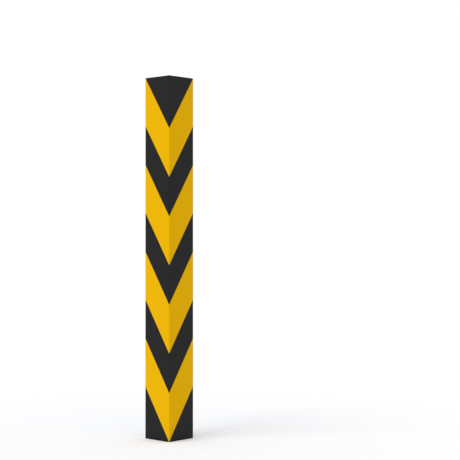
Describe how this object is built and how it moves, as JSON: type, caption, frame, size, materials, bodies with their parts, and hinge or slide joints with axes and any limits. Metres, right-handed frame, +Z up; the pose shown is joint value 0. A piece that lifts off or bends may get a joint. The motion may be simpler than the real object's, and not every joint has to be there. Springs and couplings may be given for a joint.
{
  "type": "corner guard",
  "caption": "Upright L-section corner guard of black coated steel angle, with yellow reflective chevrons folded round its arris and strips of foam tape inside that hold it to a wall corner.",
  "frame": {"origin": "on the floor, at the point of the guard's foot where the inner faces of the two legs would meet", "axes": "+Z up along the arris, +X along the right leg and +Y along the left leg as seen from in front of the arris, which points to -X -Y; the wall corner fills the +X +Y side"},
  "size_m": [0.0753, 0.0753, 0.8],
  "materials": {
    "black_powder_coat": "half-gloss black powder coat over rolled steel",
    "yellow_reflective_film": "self-adhesive retroreflective film, dull by day, with a fine beaded grain",
    "foam_tape": "grey closed-cell acrylic foam, tacky on both faces"
  },
  "bodies": {
    "root": {"guard_angle": "black_powder_coat", "chevron_1": "yellow_reflective_film", "chevron_2": "yellow_reflective_film", "chevron_3": "yellow_reflective_film", "chevron_4": "yellow_reflective_film", "right_tape_1": "foam_tape", "right_tape_2": "foam_tape", "left_tape_1": "foam_tape", "left_tape_2": "foam_tape"}
  },
  "joints": []
}
